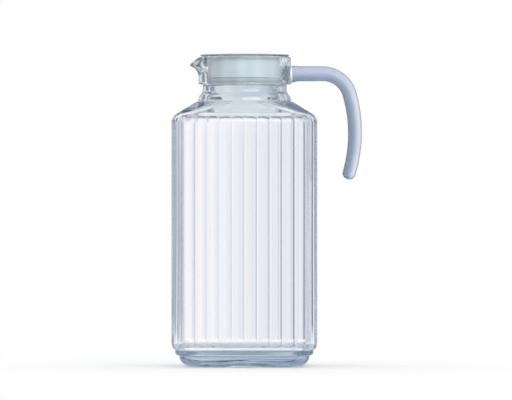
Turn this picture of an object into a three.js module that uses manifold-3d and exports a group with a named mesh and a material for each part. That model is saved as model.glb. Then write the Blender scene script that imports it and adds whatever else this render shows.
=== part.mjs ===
// Glass water jug: a fluted square body drawn in to a round collar with a pouring lip,
// a hook handle fused to the collar, a push-in plug lid and the ring that seals it.
// Millimetres, +Z up. The lip points to -X and the handle to +X.
import * as THREE from 'three';
import { mergeVertices } from 'three/addons/utils/BufferGeometryUtils.js';
import Module from 'manifold-3d';

const wasm = await Module();
wasm.setup();

// Heights of the glass, stacked from the table up
const footHeight = 9.5;
const bandHeight = 4.5;
const wallHeight = 179.7;
const shoulderHeight = 13;
const neckHeight = 12.7;
const collarHeight = 22;

// Body plan: a square with round corners
const bodyWidth = 112.4;
const bodyCorner = 7.6;
const wallThickness = 3.8;
const innerCorner = 5.2;
const floorThickness = 11;
const floorRound = 9;

// Flutes: shallow hollows between narrow ridges, side by side on each of the four faces
const flutesPerFace = 10;
const fluteDepth = 0.5;
const ridgeWidth = 3;
const fluteFade = 3;
const fluteRise = 2.2;
const fluteFoot = 2.2;

// Foot, and the plain band between it and the flutes
const footInset = 5.8;
const footCorner = 11;
const heelRun = 11.5;
const bearingWidth = 4;
const pushUpHeight = 3;
const bandInset = 2.8;
const bandLedge = 0.6;
const bandRound = 2.8;
const wallTuck = 6;

// Shoulder, neck and collar
const shoulderRadius = 37;
const shoulderRoundRise = 2.9;
const shoulderRoundFall = 3.4;
const shoulderThickness = 2.9;
const innerRoundRise = 2.8;
const innerRoundFall = 3.2;
const flareRadius = 36.3;
const flareHeight = 9.3;
const neckRadius = 32.8;
const neckWall = 6.7;
const throatDrop = 1.2;
const collarRadius = 36.2;
const collarBore = 28.7;
const collarRound = 2.3;
const boreRound = 1.5;
const collarFootRound = 1.6;
const seatDepth = 22.4;
const seatRound = 1.2;

// Pouring lip: how far the rim is drawn out and down, how wide and deep the draw is,
// and how much it thins the rim
const spoutReach = 6.2;
const spoutDroop = 5;
const spoutHalfAngle = THREE.MathUtils.degToRad(34);
const spoutDepth = 14.9;
const spoutCurl = 1.6;
const spoutThin = 0.4;

// Handle: a straight arm, a bend and a long grip that hangs free at its lower end
const armDrop = 13.4;
const armLength = 24.7;
const armThickness = 11.9;
const tipThickness = 10.4;
const armWidth = 15;
const bendRadius = 21.8;
const gripLean = THREE.MathUtils.degToRad(16);
const gripRadius = 110;
const gripSweep = THREE.MathUtils.degToRad(32.5);
const lugLength = 6;
const lugRise = 0.4;
const lugFall = 1.6;
const lugSpread = 2;

// Lid: a flat flange, a tapered plug and a dished top with a bar to grip it by
const flangeRadius = 34.8;
const flangeThickness = 1.3;
const flangeEdge = 0.7;
const plugTaper = 0.6;
const plugWall = 1.8;
const dishRadius = 19;
const dishDepth = 11;
const dishFloor = 1.8;
const gripBarThickness = 5;
const pourWindowWidth = 22;
const pourWindowHeight = 10;
const strainerSlits = 5;
const strainerPitch = 4.4;
const strainerWidth = 2;
const windowDrop = 1.5;
const windowClear = 1.4;

// Sealing ring, in a groove at the lower end of the plug
const ringHeight = 3.4;
const ringThickness = 2.6;
const plugLipHeight = 1.2;
const plugLipInset = 1.4;

// Clearances
const fitGap = 0.3;
const plugGap = 0.5;

// Facets
const roundSteps = 64;
const cornerSteps = 5;
const fadeSteps = 3;
const pushUpSteps = 3;
const arcSteps = 4;
const edgeSteps = 2;
const flareSteps = 6;
const lipSteps = 4;
const lidSteps = 48;
const handleSides = 18;
const handleStations = 26;
const lugSteps = 4;
const turnTolerance = 1e-9;

// Heights and half sizes that follow from the driving dimensions
const bodyHalf = bodyWidth / 2;
const footHalf = bodyHalf - footInset;
const bandHalf = bodyHalf - bandInset;
const innerHalf = bodyHalf - wallThickness;
const bandTop = footHeight + bandHeight;
const wallTop = bandTop + wallHeight;
const shoulderTop = wallTop + shoulderHeight;
const collarFoot = shoulderTop + neckHeight;
const rimTop = collarFoot + collarHeight;
const seatTop = rimTop - seatDepth;

// The glass of the shoulder has its own thickness at its foot and thickens towards the throat,
// which follows the flare of the neck
const shoulderSlope = shoulderHeight / (bodyHalf - shoulderRadius);
const shoulderDrop = shoulderThickness * Math.hypot(1, shoulderSlope);
const innerFoot = wallTop + wallThickness * shoulderSlope - shoulderDrop;
const throatFoot = shoulderTop - throatDrop;
const throatRadius = flareRadius - neckWall;
const neckBore = neckRadius - neckWall;

// One quarter of an ellipse as (across, up) shares: 0 at the start of the turn, 1 at its end.
function quarterTurn(steps) {
  const shares = [];
  for (let i = 0; i <= steps; i += 1) {
    const angle = (i / steps) * (Math.PI / 2);
    shares.push({ across: Math.sin(angle), up: 1 - Math.cos(angle) });
  }
  return shares;
}

// A point of a ring keeps its turn about the axis, so that rings of unequal counts can be joined.
function ringPoint(x, y, z) {
  const turn = Math.atan2(y, x) / (2 * Math.PI);
  return { x, y, z, turn: turn < -turnTolerance ? turn + 1 : Math.max(turn, 0) };
}

// How far the rim is drawn at this angle: 1 at the middle of the lip, 0 beyond its sides.
function spoutShare(angle) {
  const away = Math.abs(angle - Math.PI) / spoutHalfAngle;
  return away < 1 ? Math.cos((away * Math.PI) / 2) ** 2 : 0;
}

// A round ring. Near the rim its points are drawn out and down where the lip is,
// by the full amount from the foot of the rim's rounding upwards.
function roundRing(radius, z) {
  const ring = [];
  const climb = (z - rimTop + spoutDepth) / (spoutDepth - collarRound);
  const curl = THREE.MathUtils.clamp(climb, 0, 1) ** spoutCurl;
  for (let i = 0; i < roundSteps; i += 1) {
    const angle = (i / roundSteps) * 2 * Math.PI;
    const share = spoutShare(angle);
    const reach = radius + (spoutReach + spoutThin * (collarRadius - radius)) * share * curl;
    const height = z - spoutDroop * share * share * curl;
    ring.push(ringPoint(reach * Math.cos(angle), reach * Math.sin(angle), height));
  }
  return ring;
}

// One side of the square plan: the face towards +X, then the corner after it.
// Each flute is a flat hollow between two ridges.
function sidePlan(half, corner, depth) {
  const flat = half - corner;
  const pitch = (2 * flat) / flutesPerFace;
  const side = [];
  for (let i = 0; i < flutesPerFace; i += 1) {
    const ridge = i * pitch - flat;
    side.push(new THREE.Vector2(half, ridge));
    if (depth > 0) {
      side.push(new THREE.Vector2(half - depth, ridge + ridgeWidth / 2));
      side.push(new THREE.Vector2(half - depth, ridge + pitch - ridgeWidth / 2));
    }
  }
  for (let i = 0; i < cornerSteps; i += 1) {
    const angle = (i / cornerSteps) * (Math.PI / 2);
    side.push(new THREE.Vector2(flat + corner * Math.cos(angle), flat + corner * Math.sin(angle)));
  }
  return side;
}

// The whole square plan: one side, four times round.
function squarePlan(half, corner, depth) {
  const side = sidePlan(half, corner, depth);
  const plan = [];
  for (let quarter = 0; quarter < 4; quarter += 1) {
    for (const point of side) {
      plan.push(point.clone().rotateAround(new THREE.Vector2(), (quarter * Math.PI) / 2));
    }
  }
  return plan;
}

// How far the square plan reaches from the axis towards a point.
function planReach(point, half, corner) {
  const flat = half - corner;
  const length = point.length();
  const near = Math.max(Math.abs(point.x), Math.abs(point.y)) / length;
  const aside = Math.min(Math.abs(point.x), Math.abs(point.y)) / length;
  if (aside * half <= flat * near) {
    return half / near;
  }
  const along = flat * (near + aside);
  return along + Math.sqrt(Math.max(along * along - 2 * flat * flat + corner * corner, 0));
}

// A ring between a circle of this radius (blend 0) and the square plan (blend 1): as the plan is
// drawn in its corners grow round, and its sides stay straight.
function blendRing(half, corner, depth, radius, blend, z) {
  const drawnHalf = radius + (half - radius) * blend;
  const drawnCorner = radius + (corner - radius) * blend;
  const ring = squarePlan(half, corner, depth).map((point) => {
    const share = planReach(point, drawnHalf, drawnCorner) / planReach(point, half, corner);
    return ringPoint(point.x * share, point.y * share, z);
  });
  return ring.sort((first, second) => first.turn - second.turn);
}

function squareRing(half, corner, z, depth = 0) {
  return blendRing(half, corner, depth, 1, 1, z);
}

// Closes a stack of rings into one skin. Each ring turns anticlockwise about the way the stack goes.
function skin(rings, firstPole, lastPole) {
  const positions = [];
  const faces = [];
  const starts = [];
  for (const ring of rings) {
    starts.push(positions.length / 3);
    ring.forEach((point) => positions.push(point.x, point.y, point.z));
  }
  const firstIndex = positions.length / 3;
  positions.push(firstPole.x, firstPole.y, firstPole.z);
  positions.push(lastPole.x, lastPole.y, lastPole.z);

  const indexOf = (level, step) => starts[level] + (step % rings[level].length);
  const turnOf = (level, step) => {
    const ring = rings[level];
    return ring[step % ring.length].turn + Math.floor(step / ring.length);
  };
  for (let level = 0; level + 1 < rings.length; level += 1) {
    let low = 0;
    let high = 0;
    while (low < rings[level].length || high < rings[level + 1].length) {
      const lowIsNext = high === rings[level + 1].length
        || (low < rings[level].length && turnOf(level, low + 1) <= turnOf(level + 1, high + 1));
      if (lowIsNext) {
        faces.push(indexOf(level, low), indexOf(level, low + 1), indexOf(level + 1, high));
        low += 1;
      } else {
        faces.push(indexOf(level, low), indexOf(level + 1, high + 1), indexOf(level + 1, high));
        high += 1;
      }
    }
  }
  const last = rings.length - 1;
  for (let i = 0; i < rings[0].length; i += 1) {
    faces.push(firstIndex, indexOf(0, i + 1), indexOf(0, i));
  }
  for (let i = 0; i < rings[last].length; i += 1) {
    faces.push(indexOf(last, i), indexOf(last, i + 1), firstIndex + 1);
  }
  const geometry = new THREE.BufferGeometry();
  geometry.setAttribute('position', new THREE.Float32BufferAttribute(positions, 3));
  geometry.setIndex(faces);
  return geometry;
}

// Depth of the flutes at this height: they run out above the band and at the shoulder's edge.
function depthAt(z) {
  const inside = Math.min(z - bandTop - fluteFoot, wallTop + fluteRise - z);
  return fluteDepth * Math.sqrt(THREE.MathUtils.clamp(inside / fluteFade, 0, 1));
}

// Underside: a shallow push-up inside the flat ring that the jug stands on, then the rounded heel.
function footRings() {
  const bearingHalf = footHalf - heelRun;
  const pushUpHalf = bearingHalf - bearingWidth;
  const rings = [];
  for (let i = 1; i <= pushUpSteps; i += 1) {
    const share = i / pushUpSteps;
    rings.push(squareRing(pushUpHalf * share, footCorner * share, pushUpHeight * (1 - share * share)));
  }
  for (const turn of quarterTurn(arcSteps)) {
    rings.push(squareRing(bearingHalf + heelRun * turn.across, footCorner, footHeight * turn.up));
  }
  return rings;
}

// Band under the flutes, rounded below, and the fluted wall that tucks in to meet it.
function wallRings() {
  const rings = [];
  const ledgeHalf = footHalf + bandLedge;
  for (const turn of quarterTurn(edgeSteps)) {
    const half = ledgeHalf + (bandHalf - ledgeHalf) * turn.across;
    rings.push(squareRing(half, bodyCorner, footHeight + bandRound * turn.up));
  }
  rings.push(squareRing(bandHalf, bodyCorner, bandTop));
  for (const turn of quarterTurn(fadeSteps).slice(1)) {
    const half = bandHalf + bandInset * turn.across;
    const height = bandTop + wallTuck * turn.up;
    rings.push(squareRing(half, bodyCorner, height, depthAt(height)));
  }
  return rings;
}

// Shoulder: the square plan drawn in to a circle along a straight slope, with a rounded lower edge.
function shoulderRings(half, corner, radius, foot, height, rise, fall, depthOf) {
  const slope = (blend) => foot + height * (1 - blend);
  const startBlend = 1 - rise / height;
  const edge = new THREE.QuadraticBezierCurve(
    new THREE.Vector2(1, foot - fall),
    new THREE.Vector2(1, foot),
    new THREE.Vector2(startBlend, slope(startBlend)),
  );
  const rings = edge.getPoints(arcSteps).map(
    (at) => blendRing(half, corner, depthOf(at.y), radius, at.x, at.y),
  );
  rings.push(blendRing(half, corner, 0, radius, startBlend / 2, slope(startBlend / 2)));
  return rings;
}

// Round rings along an S-shaped flare, from its foot up.
function flareRings(footRadius, foot, topRadius, top) {
  const middle = (foot + top) / 2;
  const flare = new THREE.CubicBezierCurve(
    new THREE.Vector2(footRadius, foot),
    new THREE.Vector2(footRadius, middle),
    new THREE.Vector2(topRadius, middle),
    new THREE.Vector2(topRadius, top),
  );
  return flare.getPoints(flareSteps).map((at) => roundRing(at.x, at.y));
}

// Neck, flared towards the shoulder, and the foot of the collar.
function neckRings() {
  const rings = [roundRing(shoulderRadius, shoulderTop)];
  rings.push(...flareRings(flareRadius, shoulderTop, neckRadius, shoulderTop + flareHeight));
  rings.push(roundRing(neckRadius, collarFoot));
  rings.push(roundRing(collarRadius - collarFootRound, collarFoot));
  rings.push(roundRing(collarRadius, collarFoot + collarFootRound));
  return rings;
}

function rimRings() {
  const rings = [];
  const sideTop = rimTop - collarRound;
  const drawFoot = rimTop - spoutDepth;
  const climb = [];
  for (let i = 0; i < lipSteps; i += 1) {
    climb.push(drawFoot + (sideTop - drawFoot) * (i / lipSteps));
  }
  climb.forEach((z) => rings.push(roundRing(collarRadius, z)));
  for (const turn of quarterTurn(arcSteps)) {
    rings.push(roundRing(collarRadius - collarRound * turn.up, sideTop + collarRound * turn.across));
  }
  for (const turn of quarterTurn(edgeSteps)) {
    rings.push(roundRing(collarBore + boreRound * (1 - turn.across), rimTop - boreRound * turn.up));
  }
  climb.reverse().forEach((z) => rings.push(roundRing(collarBore, z)));
  return rings;
}

// Inside, from the lid's bore down over its seat, through the throat and out to the walls and floor.
function insideRings() {
  const rings = [
    roundRing(collarBore, seatTop + seatRound),
    roundRing(collarBore - seatRound, seatTop),
    roundRing(neckBore + seatRound, seatTop),
    roundRing(neckBore, seatTop - seatRound),
  ];
  rings.push(...flareRings(throatRadius, throatFoot, neckBore, throatFoot + flareHeight).reverse());
  const inner = shoulderRings(
    innerHalf,
    innerCorner,
    throatRadius,
    innerFoot,
    throatFoot - innerFoot,
    innerRoundRise,
    innerRoundFall,
    () => 0,
  );
  rings.push(...inner.reverse());
  for (const turn of quarterTurn(arcSteps)) {
    rings.push(squareRing(
      innerHalf - floorRound * turn.up,
      innerCorner + (footCorner - innerCorner) * turn.up,
      floorThickness + floorRound * (1 - turn.across),
    ));
  }
  return rings;
}

function buildJugBody() {
  const rings = [
    ...footRings(),
    ...wallRings(),
    ...shoulderRings(
      bodyHalf,
      bodyCorner,
      shoulderRadius,
      wallTop,
      shoulderHeight,
      shoulderRoundRise,
      shoulderRoundFall,
      depthAt,
    ),
    ...neckRings(),
    ...rimRings(),
    ...insideRings(),
  ];
  return skin(rings, new THREE.Vector3(0, 0, pushUpHeight), new THREE.Vector3(0, 0, floorThickness));
}

// Middle line of the handle in the XZ plane.
function handlePath() {
  const bendX = collarRadius + armLength;
  const armHeight = rimTop - armDrop;
  const path = new THREE.Path();
  path.moveTo(collarRadius + fitGap, armHeight);
  path.lineTo(bendX, armHeight);
  path.absarc(bendX, armHeight - bendRadius, bendRadius, Math.PI / 2, gripLean, true);
  const inward = gripRadius - bendRadius;
  path.absarc(
    bendX - inward * Math.cos(gripLean),
    armHeight - bendRadius - inward * Math.sin(gripLean),
    gripRadius,
    gripLean,
    gripLean - gripSweep,
    true,
  );
  return path;
}

// Oval section of the handle at one place. It swells into the lug at the collar.
function handleRing(at, along, thickness, width, lug) {
  const ring = [];
  for (let i = 0; i < handleSides; i += 1) {
    const angle = (i / handleSides) * 2 * Math.PI;
    const y = (width / 2 + lugSpread * lug) * Math.cos(angle);
    const swell = Math.sin(angle) > 0 ? lugRise : lugFall;
    const rise = (thickness / 2 + swell * lug) * Math.sin(angle);
    ring.push({ x: at.x - along.y * rise, y, z: at.y + along.x * rise, turn: i / handleSides });
  }
  return ring;
}

// Lays a ring on the outside of the collar, clear of it by the fit gap.
function seatOnCollar(ring) {
  const radius = collarRadius + fitGap;
  return ring.map((point) => ({ ...point, x: Math.sqrt(radius * radius - point.y * point.y) }));
}

function buildHandle() {
  const path = handlePath();
  const length = path.getLength();
  const rings = [];
  const start = path.getPointAt(0);
  const ahead = new THREE.Vector2(1, 0);
  const halfway = 1 / 2;
  rings.push(seatOnCollar(handleRing(start, ahead, armThickness * halfway, armWidth * halfway, halfway)));
  for (let i = 0; i < lugSteps; i += 1) {
    const share = i / lugSteps;
    const at = start.clone().add(new THREE.Vector2(lugLength * share, 0));
    const ring = handleRing(at, ahead, armThickness, armWidth, (1 - share) ** 2);
    rings.push(share === 0 ? seatOnCollar(ring) : ring);
  }
  for (let i = 0; i <= handleStations; i += 1) {
    const along = lugLength / length + (1 - lugLength / length) * (i / handleStations);
    const thickness = armThickness + (tipThickness - armThickness) * along;
    rings.push(handleRing(path.getPointAt(along), path.getTangentAt(along), thickness, armWidth, 0));
  }
  const tip = path.getPointAt(1);
  const tipWay = path.getTangentAt(1);
  for (const turn of quarterTurn(arcSteps).slice(1, -1)) {
    const at = tip.clone().addScaledVector(tipWay, (tipThickness / 2) * turn.across);
    rings.push(handleRing(at, tipWay, tipThickness * (1 - turn.up), armWidth * (1 - turn.up), 0));
  }
  const end = tip.clone().addScaledVector(tipWay, tipThickness / 2);
  return skin(rings, new THREE.Vector3(start.x, 0, start.y), new THREE.Vector3(end.x, 0, end.y));
}

// Turns a profile of (radius, height) points about the Z axis.
function turned(profile) {
  const geometry = new THREE.LatheGeometry(profile, lidSteps);
  return geometry.rotateX(Math.PI / 2);
}

function toSolid(geometry) {
  const plain = geometry.clone();
  plain.deleteAttribute('normal');
  plain.deleteAttribute('uv');
  const merged = mergeVertices(plain);
  return new wasm.Manifold(new wasm.Mesh({
    numProp: 3,
    vertProperties: Float32Array.from(merged.getAttribute('position').array),
    triVerts: Uint32Array.from(merged.getIndex().array),
  }));
}

function toGeometry(solid) {
  const mesh = solid.getMesh();
  const geometry = new THREE.BufferGeometry();
  geometry.setAttribute('position', new THREE.Float32BufferAttribute(mesh.vertProperties, 3));
  geometry.setIndex(new THREE.Uint32BufferAttribute(mesh.triVerts, 1));
  return geometry;
}

function block(width, depth, height, x, y, z) {
  return toSolid(new THREE.BoxGeometry(width, depth, height).translate(x, y, z));
}

// Heights and radii that the lid and its ring share
const flangeFoot = rimTop + fitGap;
const lidTop = flangeFoot + flangeThickness;
const plugRadius = collarBore - plugGap;
const plugEnd = seatTop + fitGap;
const grooveFoot = plugEnd + plugLipHeight;
const grooveTop = grooveFoot + ringHeight + 2 * fitGap;
const ringOuter = collarBore - fitGap;
const ringInner = ringOuter - ringThickness;
const grooveRadius = ringInner - fitGap;

// The lid as turned: flange, tapered plug with the ring's groove, and the dish in the top.
function lidProfile() {
  const plugInner = plugRadius - plugTaper - plugWall;
  const grooveInner = grooveRadius - plugWall;
  const dishFoot = lidTop - dishDepth;
  const points = [
    [0, dishFoot - dishFloor],
    [dishRadius + plugWall, dishFoot - dishFloor],
    [dishRadius + plugWall, flangeFoot],
    [plugInner, flangeFoot],
    [plugInner, grooveTop + plugWall],
    [grooveInner, grooveTop],
    [grooveInner, plugEnd],
    [plugRadius - plugLipInset - plugLipHeight / 2, plugEnd],
    [plugRadius - plugLipInset, grooveFoot],
    [grooveRadius, grooveFoot],
    [grooveRadius, grooveTop],
    [plugRadius - plugTaper, grooveTop],
    [plugRadius, flangeFoot],
    [flangeRadius - flangeEdge, flangeFoot],
    [flangeRadius, flangeFoot + flangeThickness / 2],
    [flangeRadius - flangeEdge, lidTop],
    [dishRadius, lidTop],
    [dishRadius, dishFoot],
    [0, dishFoot],
  ];
  return points.map(([radius, height]) => new THREE.Vector2(radius, height));
}

// Bar across the dish, flush with the flange, that the fingers pinch.
function gripBar() {
  const height = dishDepth + dishFloor / 2;
  const length = 2 * dishRadius + plugWall;
  return block(gripBarThickness, length, height, 0, 0, lidTop - height / 2);
}

function buildLid() {
  let lid = toSolid(turned(lidProfile())).add(gripBar());
  const cutStart = dishRadius + plugWall + windowClear;
  const cutEnd = plugRadius + windowClear;
  const cutReach = cutEnd - cutStart;
  const cutMiddle = (cutStart + cutEnd) / 2;
  const windowMiddle = flangeFoot - windowDrop - pourWindowHeight / 2;
  lid = lid.subtract(
    block(cutReach, pourWindowWidth, pourWindowHeight, -cutMiddle, 0, windowMiddle),
  );
  for (let i = 0; i < strainerSlits; i += 1) {
    const y = (i - (strainerSlits - 1) / 2) * strainerPitch;
    lid = lid.subtract(
      block(cutReach, strainerWidth, pourWindowHeight, cutMiddle, y, windowMiddle),
    );
  }
  return toGeometry(lid);
}

// The ring bulges outward to meet the glass and lies flat in its groove.
function buildSealRing() {
  const foot = grooveFoot + fitGap;
  const bulge = ringThickness / 2;
  const profile = [new THREE.Vector2(ringInner, foot)];
  for (let i = 0; i <= 2 * arcSteps; i += 1) {
    const angle = (i / (2 * arcSteps) - 0.5) * Math.PI;
    profile.push(new THREE.Vector2(
      ringOuter - bulge + bulge * Math.cos(angle),
      foot + (ringHeight / 2) * (1 + Math.sin(angle)),
    ));
  }
  profile.push(new THREE.Vector2(ringInner, foot + ringHeight));
  profile.push(profile[0].clone());
  return turned(profile);
}

function piece(name, geometry, look) {
  const mesh = new THREE.Mesh(geometry, new THREE.MeshStandardMaterial(look));
  mesh.name = name;
  return mesh;
}

const jug = new THREE.Group();
jug.add(
  piece('jug_body', buildJugBody(), { color: 0xe2ebf2, roughness: 0.05, metalness: 0 }),
  piece('handle', buildHandle(), { color: 0xa9b6cc, roughness: 0.35, metalness: 0 }),
  piece('lid', buildLid(), { color: 0xccd8dd, roughness: 0.4, metalness: 0 }),
  piece('seal_ring', buildSealRing(), { color: 0x9eadb4, roughness: 0.6, metalness: 0 }),
);

// The origin is under the middle of the whole outline, handle included.
const outline = new THREE.Box3().setFromObject(jug);
jug.position.x = -(outline.min.x + outline.max.x) / 2;

const product = new THREE.Group();
product.add(jug);
export default product;
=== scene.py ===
"""Glass water jug: clear fluted body, satin hook handle, milky plug lid and soft sealing ring.

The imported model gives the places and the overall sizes. The surfaces made here follow the same
forms with fine curves, each with its own material, on a pale floor in soft studio light.
"""
import math

import bmesh
import bpy
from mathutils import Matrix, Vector
from mathutils.geometry import interpolate_bezier


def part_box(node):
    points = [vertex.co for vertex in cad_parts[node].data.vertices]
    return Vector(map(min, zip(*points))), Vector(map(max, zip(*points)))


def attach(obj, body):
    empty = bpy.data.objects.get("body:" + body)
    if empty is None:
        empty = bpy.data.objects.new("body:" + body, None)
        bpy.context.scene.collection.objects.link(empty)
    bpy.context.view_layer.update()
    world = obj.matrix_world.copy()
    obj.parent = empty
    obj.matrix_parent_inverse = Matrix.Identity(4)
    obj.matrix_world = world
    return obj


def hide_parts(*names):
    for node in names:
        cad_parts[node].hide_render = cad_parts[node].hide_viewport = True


MM = 0.001

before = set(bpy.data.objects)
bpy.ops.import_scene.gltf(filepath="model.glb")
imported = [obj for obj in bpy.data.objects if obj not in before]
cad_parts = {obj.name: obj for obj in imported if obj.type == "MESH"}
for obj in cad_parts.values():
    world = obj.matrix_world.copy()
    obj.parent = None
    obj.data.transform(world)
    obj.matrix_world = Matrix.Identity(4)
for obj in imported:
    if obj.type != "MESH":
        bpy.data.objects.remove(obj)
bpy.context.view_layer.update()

# Places and overall sizes, read from the frame
body_low, body_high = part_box("jug_body")
lid_low, lid_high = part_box("lid")
ring_low, ring_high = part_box("seal_ring")
AXIS_X = (lid_low.x + lid_high.x) / 2
BODY_HALF = (body_high.y - body_low.y) / 2
RIM_TOP = body_high.z

# Heights of the glass, from the rim down and from the table up
FOOT_HEIGHT = 9.5 * MM
BAND_TOP = 14 * MM
COLLAR_FOOT = RIM_TOP - 22 * MM
SHOULDER_TOP = COLLAR_FOOT - 12.7 * MM
WALL_TOP = SHOULDER_TOP - 13 * MM
SEAT_TOP = RIM_TOP - 22.4 * MM

# Body plan: a square with round corners and ten flutes on each face
BODY_CORNER = 7.6 * MM
WALL_THICKNESS = 3.8 * MM
INNER_HALF = BODY_HALF - WALL_THICKNESS
INNER_CORNER = 5.2 * MM
BASE_THICKNESS = 11 * MM
BASE_ROUND = 9 * MM
BASE_SHARES = (0.75, 0.5, 0.25)
FLUTES = 10
FLUTE_DEPTH = 0.5 * MM
FLUTE_SQUARENESS = 4
FLUTE_FOOT = 1.6 * MM
FLUTE_FOOT_ARCH = 1.8 * MM
FLUTE_FOOT_FADE = 0.45 * MM
FLUTE_ARCH = 1.0 * MM
FLUTE_FADE = 1.4 * MM

# Foot and band
FOOT_HALF = BODY_HALF - 5.8 * MM
FOOT_CORNER = 11 * MM
HEEL_RUN = 11.5 * MM
BEARING_WIDTH = 4 * MM
PUSH_UP = 6.5 * MM
PUSH_UP_CURVE = 1.5
BAND_HALF = BODY_HALF - 2.8 * MM
BAND_LEDGE = 0.6 * MM
BAND_ROUND = 2.8 * MM
WALL_TUCK = 6 * MM

# Shoulder, neck and collar
SHOULDER_RADIUS = 37 * MM
SHOULDER_ROUND_RISE = 2.9 * MM
SHOULDER_ROUND_FALL = 3.4 * MM
SHOULDER_THICKNESS = 2.9 * MM
INNER_ROUND_RISE = 2.8 * MM
INNER_ROUND_FALL = 3.2 * MM
FLARE_RADIUS = 36.3 * MM
FLARE_HEIGHT = 9.3 * MM
NECK_RADIUS = 32.8 * MM
NECK_FILLET = 1 * MM
NECK_WALL = 6.7 * MM
NECK_BORE = NECK_RADIUS - NECK_WALL
THROAT_DROP = 1.2 * MM
COLLAR_RADIUS = 36.2 * MM
COLLAR_BORE = 28.7 * MM
COLLAR_ROUND = 2.3 * MM
BORE_ROUND = 1.5 * MM
COLLAR_FOOT_ROUND = 1.6 * MM
SEAT_ROUND = 1.2 * MM

# Pouring lip
SPOUT_REACH = 6.2 * MM
SPOUT_DROOP = 5 * MM
SPOUT_HALF_ANGLE = math.radians(34)
SPOUT_DEPTH = 14.9 * MM
SPOUT_CURL = 1.6
SPOUT_THIN = 0.4

# Handle
ARM_HEIGHT = RIM_TOP - 13.4 * MM
ARM_END = COLLAR_RADIUS + 24.7 * MM
ARM_THICKNESS = 11.9 * MM
TIP_THICKNESS = 10.4 * MM
ARM_WIDTH = 15 * MM
BEND_RADIUS = 21.8 * MM
GRIP_LEAN = math.radians(16)
GRIP_RADIUS = 110 * MM
GRIP_SWEEP = math.radians(32.5)
LUG_LENGTH = 6 * MM
LUG_RISE = 0.4 * MM
LUG_FALL = 1.6 * MM
LUG_SPREAD = 2 * MM

# Stored on the handle: 0 on the inner side of its bend, 1 on the outer side
OUTER_SIDE = "outer_side"

# Lid and sealing ring
FLANGE_RADIUS = (lid_high.x - lid_low.x) / 2
FLANGE_THICKNESS = 1.3 * MM
FLANGE_EDGE = 0.7 * MM
PLUG_RADIUS = 28.2 * MM
PLUG_TAPER = 0.6 * MM
PLUG_WALL = 1.8 * MM
DISH_RADIUS = 19 * MM
DISH_DEPTH = 11 * MM
DISH_FLOOR = 1.8 * MM
DISH_FILLET = 1.5 * MM
GRIP_BAR = 5 * MM
WINDOW_WIDTH = 22 * MM
WINDOW_HEIGHT = 10 * MM
WINDOW_DROP = 1.5 * MM
SLITS = 5
SLIT_PITCH = 4.4 * MM
SLIT_WIDTH = 2 * MM
PLUG_LIP_HEIGHT = 1.2 * MM
PLUG_LIP_INSET = 1.4 * MM
RING_THICKNESS = 2.6 * MM
SEAL_SQUEEZE = 0.25 * MM
SMALL_ROUND = 0.4 * MM
BAR_ROUND = 0.5 * MM
WINDOW_ROUND = 1.5 * MM
SLIT_ROUND = 0.8 * MM

# Clearances
FIT_GAP = 0.3 * MM

# Steps of the fine surfaces
FLUTE_STEPS = 14
CORNER_STEPS = 16
ARC_STEPS = 10
TURNED_STEPS = 192
HANDLE_SIDES = 56
HANDLE_STEPS = 150
BLOCK_STEPS = 5
SHARP_TURN = math.radians(40)


def quarter_turn(steps):
    """Shares (across, up) of a quarter of an ellipse, from 0 to 1."""
    angles = [step / steps * math.pi / 2 for step in range(steps + 1)]
    return [(math.sin(angle), 1 - math.cos(angle)) for angle in angles]


def square_ring(half, corner, z, hollow=None):
    """A ring of the square plan at height z; hollow gives the depth across a flute, from -1 to 1."""
    flat = half - corner
    face_steps = FLUTES * FLUTE_STEPS
    side = []
    for step in range(face_steps):
        flute = step // FLUTE_STEPS
        across = math.sin((step % FLUTE_STEPS / FLUTE_STEPS - 0.5) * math.pi)
        depth = hollow(across) if hollow else 0
        side.append((half - depth, flat * ((2 * flute + 1 + across) / FLUTES - 1)))
    for step in range(CORNER_STEPS):
        angle = step / CORNER_STEPS * math.pi / 2
        side.append((flat + corner * math.cos(angle), flat + corner * math.sin(angle)))
    ring = []
    for cosine, sine in ((1, 0), (0, 1), (-1, 0), (0, -1)):
        ring += [Vector((x * cosine - y * sine, x * sine + y * cosine, z)) for x, y in side]
    return ring


# Directions from the axis to the points of a ring, and how far the lip is drawn out in each
ROUND_WAYS = [point.normalized() for point in square_ring(BODY_HALF, BODY_CORNER, 0)]


def spout_share(way):
    """How far the rim is drawn in this direction: 1 at the middle of the lip, 0 beyond its sides."""
    away = math.acos(max(-1, min(1, -way.x))) / SPOUT_HALF_ANGLE
    return math.cos(away * math.pi / 2) ** 2 if away < 1 else 0


SPOUT_SHARES = [spout_share(way) for way in ROUND_WAYS]


def round_ring(radius, z):
    """A round ring; near the rim it is drawn out and down where the lip is."""
    climb = (z - RIM_TOP + SPOUT_DEPTH) / (SPOUT_DEPTH - COLLAR_ROUND)
    curl = max(0, min(1, climb)) ** SPOUT_CURL
    ring = []
    for way, share in zip(ROUND_WAYS, SPOUT_SHARES):
        reach = SPOUT_REACH + SPOUT_THIN * (COLLAR_RADIUS - radius)
        point = way * (radius + reach * share * curl)
        point.z = z - SPOUT_DROOP * share * share * curl
        ring.append(point)
    return ring


def plan_reach(way, half, corner):
    """How far the square plan reaches from the axis in this direction."""
    flat = half - corner
    long_way = max(abs(way.x), abs(way.y))
    short_way = min(abs(way.x), abs(way.y))
    if short_way * half <= flat * long_way:
        return half / long_way
    along = flat * (long_way + short_way)
    return along + math.sqrt(max(0, along * along - 2 * flat * flat + corner * corner))


def plan_ring(half, corner, z):
    """A plain ring of the square plan, its points in the same directions as those of a round ring."""
    ring = []
    for way in ROUND_WAYS:
        point = way * plan_reach(way, half, corner)
        point.z = z
        ring.append(point)
    return ring


def blend_ring(half, corner, radius, blend, z):
    """A ring between a circle (blend 0) and the square plan (blend 1): its corners grow round."""
    return plan_ring(radius + (half - radius) * blend, radius + (corner - radius) * blend, z)


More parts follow.
